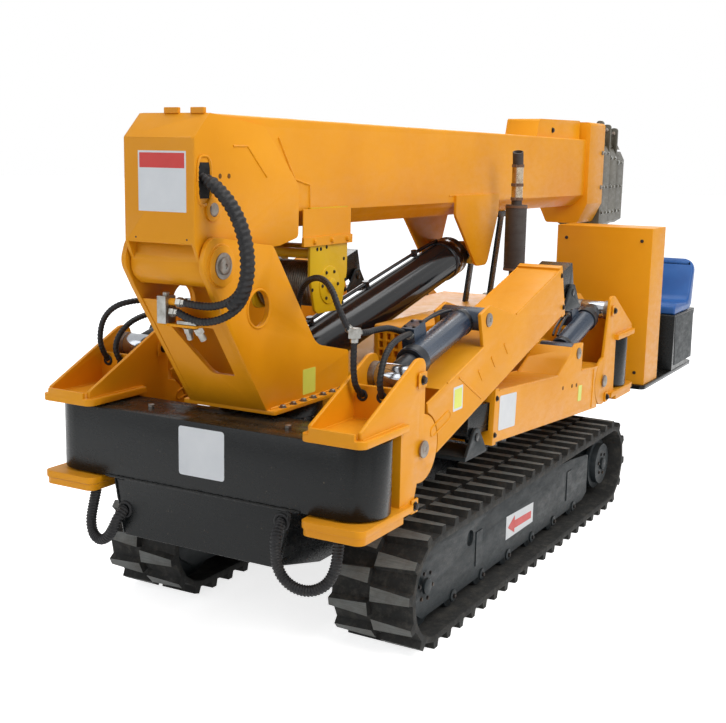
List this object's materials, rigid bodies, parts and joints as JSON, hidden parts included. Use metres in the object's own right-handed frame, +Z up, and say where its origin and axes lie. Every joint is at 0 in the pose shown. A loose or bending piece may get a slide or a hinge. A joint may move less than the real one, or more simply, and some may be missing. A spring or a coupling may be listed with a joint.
{
  "type": "spider crane",
  "caption": "Compact crawler crane on rubber tracks with four folding outriggers, telescopic boom, luffing cylinder, under-boom winch and rear operator seat.",
  "frame": {"origin": "middle of the machine's length and width, on the ground under the tracks", "axes": "+X forward (turret and slewing end), +Y to the machine's left, +Z up"},
  "size_m": [4.45, 1.34, 1.962],
  "materials": {
    "black_paint": "satin",
    "cylinder_paint": "gloss",
    "engine_iron": "matte",
    "exhaust_metal": "matte",
    "foot_steel": "satin",
    "head_paint": "satin",
    "hose_rubber": "satin",
    "rod_chrome": "polished",
    "rubber": "matte",
    "seat_plastic": "gloss",
    "undercarriage_paint": "matte",
    "yellow_paint": "gloss"
  },
  "bodies": {
    "chassis": {"main_frame": "black_paint", "cross_beams": "black_paint", "slew_ring": "black_paint", "hood": "yellow_paint", "side_cover": "yellow_paint", "engine": "engine_iron", "exhaust": "exhaust_metal", "console": "yellow_paint", "platform": "black_paint", "seat_base": "black_paint", "seat": "seat_plastic", "oil_tank": "yellow_paint", "boom_rest": "black_paint", "tracks": "rubber", "track_frames": "undercarriage_paint", "track_wheels": "undercarriage_paint", "loop_hose": "hose_rubber", "swivel_hose_left": "hose_rubber", "swivel_hose_right": "hose_rubber"},
    "turret": {"turret": "yellow_paint", "boom_hose_upper": "hose_rubber", "boom_hose_lower": "hose_rubber"},
    "boom": {"boom_base": "yellow_paint", "winch_frame": "yellow_paint"},
    "winch_drum": {"winch_drum": "foot_steel"},
    "luff_barrel": {"luff_barrel": "cylinder_paint"},
    "luff_rod": {"luff_rod": "rod_chrome"},
    "hook": {"hook_block": "yellow_paint"},
    "section_2": {"boom_section_2": "head_paint"},
    "section_3": {"boom_section_3": "head_paint"},
    "section_4": {"boom_section_4": "head_paint"},
    "bracket_front_left": {"bracket_front_left": "yellow_paint", "drop_hose_left": "hose_rubber", "branch_hose_left": "hose_rubber", "valve_hose_left": "hose_rubber"},
    "arm_front_left": {"arm_front_left": "yellow_paint"},
    "leg_front_left": {"leg_front_left": "black_paint"},
    "foot_front_left": {"foot_front_left": "foot_steel"},
    "ram_barrel_front_left": {"ram_barrel_front_left": "cylinder_paint"},
    "ram_rod_front_left": {"ram_rod_front_left": "rod_chrome"},
    "bracket_front_right": {"bracket_front_right": "yellow_paint", "drop_hose_right": "hose_rubber", "valve_hose_right": "hose_rubber"},
    "arm_front_right": {"arm_front_right": "yellow_paint"},
    "leg_front_right": {"leg_front_right": "black_paint"},
    "foot_front_right": {"foot_front_right": "foot_steel"},
    "ram_barrel_front_right": {"ram_barrel_front_right": "cylinder_paint"},
    "ram_rod_front_right": {"ram_rod_front_right": "rod_chrome"},
    "bracket_rear_left": {"bracket_rear_left": "yellow_paint"},
    "arm_rear_left": {"arm_rear_left": "yellow_paint"},
    "leg_rear_left": {"leg_rear_left": "black_paint"},
    "foot_rear_left": {"foot_rear_left": "foot_steel"},
    "ram_barrel_rear_left": {"ram_barrel_rear_left": "cylinder_paint"},
    "ram_rod_rear_left": {"ram_rod_rear_left": "rod_chrome"},
    "bracket_rear_right": {"bracket_rear_right": "yellow_paint"},
    "arm_rear_right": {"arm_rear_right": "yellow_paint"},
    "leg_rear_right": {"leg_rear_right": "black_paint"},
    "foot_rear_right": {"foot_rear_right": "foot_steel"},
    "ram_barrel_rear_right": {"ram_barrel_rear_right": "cylinder_paint"},
    "ram_rod_rear_right": {"ram_rod_rear_right": "rod_chrome"}
  },
  "joints": [
    {"name": "slew", "type": "hinge", "parent": "chassis", "child": "turret", "pos_m": [1.601, 0, 0.85], "axis": [0, 0, 1], "range_deg": [0, 180]},
    {"name": "luff", "type": "hinge", "parent": "turret", "child": "boom", "pos_m": [2.129, 0, 1.376], "axis": [0, 1, 0], "range_deg": [0, 75], "deforming": ["boom_hose_upper", "boom_hose_lower"]},
    {"name": "luff_barrel_hinge", "type": "hinge", "parent": "turret", "child": "luff_barrel", "pos_m": [1.56, 0, 0.927], "axis": [0, 1, 0], "range_deg": [0, 75.86]},
    {"name": "luff_rod_slide", "type": "slide", "parent": "luff_barrel", "child": "luff_rod", "axis": [-0.9735, 0, 0.2289], "range_m": [0, 0.8854]},
    {"name": "section_2_slide", "type": "slide", "parent": "boom", "child": "section_2", "axis": [-1, 0, 0], "range_m": [0, 2.6]},
    {"name": "section_3_slide", "type": "slide", "parent": "section_2", "child": "section_3", "axis": [-1, 0, 0], "range_m": [0, 2.6]},
    {"name": "section_4_slide", "type": "slide", "parent": "section_3", "child": "section_4", "axis": [-1, 0, 0], "range_m": [0, 2.6]},
    {"name": "winch_spin", "type": "hinge", "parent": "boom", "child": "winch_drum", "pos_m": [1.43, 0, 1.255], "axis": [0, 1, 0], "continuous": true},
    {"name": "hook_swing", "type": "hinge", "parent": "section_4", "child": "hook", "pos_m": [-2.15, 0, 1.304], "axis": [0, -1, 0], "range_deg": [0, 75]},
    {"name": "swivel_front_left", "type": "hinge", "parent": "chassis", "child": "bracket_front_left", "pos_m": [1.925, 0.55, 0.834], "axis": [0, 0, -1], "range_deg": [0, 135], "deforming": ["loop_hose", "swivel_hose_left"]},
    {"name": "arm_hinge_front_left", "type": "hinge", "parent": "bracket_front_left", "child": "arm_front_left", "pos_m": [1.65, 0.55, 0.752], "axis": [0, -1, 0], "range_deg": [0, 32.09], "deforming": ["branch_hose_left", "valve_hose_left"]},
    {"name": "leg_slide_front_left", "type": "slide", "parent": "arm_front_left", "child": "leg_front_left", "axis": [-0.9613, 0, 0.2756], "range_m": [0, 0.852]},
    {"name": "foot_hinge_front_left", "type": "hinge", "parent": "leg_front_left", "child": "foot_front_left", "pos_m": [0.16262, 0.55, 1.14833], "axis": [0, 1, 0], "range_deg": [-5, 36.59]},
    {"name": "ram_hinge_front_left", "type": "hinge", "parent": "arm_front_left", "child": "ram_barrel_front_left", "pos_m": [1.12043, 0.55, 1.13272], "axis": [0, 1, 0], "range_deg": [0, 1.84]},
    {"name": "ram_slide_front_left", "type": "slide", "parent": "ram_barrel_front_left", "child": "ram_rod_front_left", "axis": [0.9699, 0, -0.2435], "range_m": [0, 0.1345]},
    {"name": "swivel_front_right", "type": "hinge", "parent": "chassis", "child": "bracket_front_right", "pos_m": [1.925, -0.55, 0.834], "axis": [0, 0, 1], "range_deg": [0, 135], "deforming": ["swivel_hose_right"]},
    {"name": "arm_hinge_front_right", "type": "hinge", "parent": "bracket_front_right", "child": "arm_front_right", "pos_m": [1.65, -0.55, 0.752], "axis": [0, -1, 0], "range_deg": [0, 32.09], "deforming": ["drop_hose_right", "valve_hose_right"]},
    {"name": "leg_slide_front_right", "type": "slide", "parent": "arm_front_right", "child": "leg_front_right", "axis": [-0.9613, 0, 0.2756], "range_m": [0, 0.852]},
    {"name": "foot_hinge_front_right", "type": "hinge", "parent": "leg_front_right", "child": "foot_front_right", "pos_m": [0.16262, -0.55, 1.14833], "axis": [0, 1, 0], "range_deg": [-5, 36.59]},
    {"name": "ram_hinge_front_right", "type": "hinge", "parent": "arm_front_right", "child": "ram_barrel_front_right", "pos_m": [1.12043, -0.55, 1.13272], "axis": [0, 1, 0], "range_deg": [0, 1.84]},
    {"name": "ram_slide_front_right", "type": "slide", "parent": "ram_barrel_front_right", "child": "ram_rod_front_right", "axis": [0.9699, 0, -0.2435], "range_m": [0, 0.1345]},
    {"name": "swivel_rear_left", "type": "hinge", "parent": "chassis", "child": "bracket_rear_left", "pos_m": [-0.7, 0.523, 0.834], "axis": [0, 0, 1], "range_deg": [0, 135]},
    {"name": "arm_hinge_rear_left", "type": "hinge", "parent": "bracket_rear_left", "child": "arm_rear_left", "pos_m": [-0.4, 0.523, 0.655], "axis": [0, 1, 0], "range_deg": [0, 16.53]},
    {"name": "leg_slide_rear_left", "type": "slide", "parent": "arm_rear_left", "child": "leg_rear_left", "axis": [0.9976, 0, 0.0698], "range_m": [0, 0.852]},
    {"name": "foot_hinge_rear_left", "type": "hinge", "parent": "leg_rear_left", "child": "foot_rear_left", "pos_m": [1.10719, 0.523, 0.67619], "axis": [0, -1, 0], "range_deg": [-5, 21.03]},
    {"name": "ram_hinge_rear_left", "type": "hinge", "parent": "arm_rear_left", "child": "ram_barrel_rear_left", "pos_m": [-0.0075, 0.523, 0.84785], "axis": [0, -1, 0], "range_deg": [0, 6.77]},
    {"name": "ram_slide_rear_left", "type": "slide", "parent": "ram_barrel_rear_left", "child": "ram_rod_rear_left", "axis": [-0.9587, 0, 0.2845], "range_m": [0, 0.081]},
    {"name": "swivel_rear_right", "type": "hinge", "parent": "chassis", "child": "bracket_rear_right", "pos_m": [-0.7, -0.523, 0.834], "axis": [0, 0, -1], "range_deg": [0, 135]},
    {"name": "arm_hinge_rear_right", "type": "hinge", "parent": "bracket_rear_right", "child": "arm_rear_right", "pos_m": [-0.4, -0.523, 0.655], "axis": [0, 1, 0], "range_deg": [0, 16.53]},
    {"name": "leg_slide_rear_right", "type": "slide", "parent": "arm_rear_right", "child": "leg_rear_right", "axis": [0.9976, 0, 0.0698], "range_m": [0, 0.852]},
    {"name": "foot_hinge_rear_right", "type": "hinge", "parent": "leg_rear_right", "child": "foot_rear_right", "pos_m": [1.10719, -0.523, 0.67619], "axis": [0, -1, 0], "range_deg": [-5, 21.03]},
    {"name": "ram_hinge_rear_right", "type": "hinge", "parent": "arm_rear_right", "child": "ram_barrel_rear_right", "pos_m": [-0.0075, -0.523, 0.84785], "axis": [0, -1, 0], "range_deg": [0, 6.77]},
    {"name": "ram_slide_rear_right", "type": "slide", "parent": "ram_barrel_rear_right", "child": "ram_rod_rear_right", "axis": [-0.9587, 0, 0.2845], "range_m": [0, 0.081]}
  ],
  "couplings": [
    {"joint": "slew", "follows": "luff", "ratio": 2.4},
    {"joint": "luff_barrel_hinge", "follows": "luff", "ratio": 1.0048},
    {"joint": "luff_rod_slide", "follows": "luff", "m_per_rad": 0.6741},
    {"joint": "section_3_slide", "follows": "section_2_slide", "ratio": 1},
    {"joint": "section_4_slide", "follows": "section_2_slide", "ratio": 1},
    {"joint": "arm_hinge_front_left", "follows": "swivel_front_left", "ratio": 0.234},
    {"joint": "leg_slide_front_left", "follows": "swivel_front_left", "m_per_rad": 0.36075},
    {"joint": "foot_hinge_front_left", "follows": "swivel_front_left", "ratio": 0.234},
    {"joint": "ram_hinge_front_left", "follows": "swivel_front_left", "ratio": 0.009945},
    {"joint": "ram_slide_front_left", "follows": "swivel_front_left", "m_per_rad": 0.055813},
    {"joint": "arm_hinge_front_right", "follows": "swivel_front_right", "ratio": 0.234},
    {"joint": "leg_slide_front_right", "follows": "swivel_front_right", "m_per_rad": 0.36075},
    {"joint": "foot_hinge_front_right", "follows": "swivel_front_right", "ratio": 0.234},
    {"joint": "ram_hinge_front_right", "follows": "swivel_front_right", "ratio": 0.009945},
    {"joint": "ram_slide_front_right", "follows": "swivel_front_right", "m_per_rad": 0.055813},
    {"joint": "arm_hinge_rear_left", "follows": "swivel_rear_left", "ratio": 0.11874},
    {"joint": "leg_slide_rear_left", "follows": "swivel_rear_left", "m_per_rad": 0.36075},
    {"joint": "foot_hinge_rear_left", "follows": "swivel_rear_left", "ratio": 0.11874},
    {"joint": "ram_hinge_rear_left", "follows": "swivel_rear_left", "ratio": 0.046456},
    {"joint": "ram_slide_rear_left", "follows": "swivel_rear_left", "m_per_rad": 0.033084},
    {"joint": "arm_hinge_rear_right", "follows": "swivel_rear_right", "ratio": 0.11874},
    {"joint": "leg_slide_rear_right", "follows": "swivel_rear_right", "m_per_rad": 0.36075},
    {"joint": "foot_hinge_rear_right", "follows": "swivel_rear_right", "ratio": 0.11874},
    {"joint": "ram_hinge_rear_right", "follows": "swivel_rear_right", "ratio": 0.046456},
    {"joint": "ram_slide_rear_right", "follows": "swivel_rear_right", "m_per_rad": 0.033084},
    {"joint": "hook_swing", "follows": "luff", "ratio": 1}
  ]
}
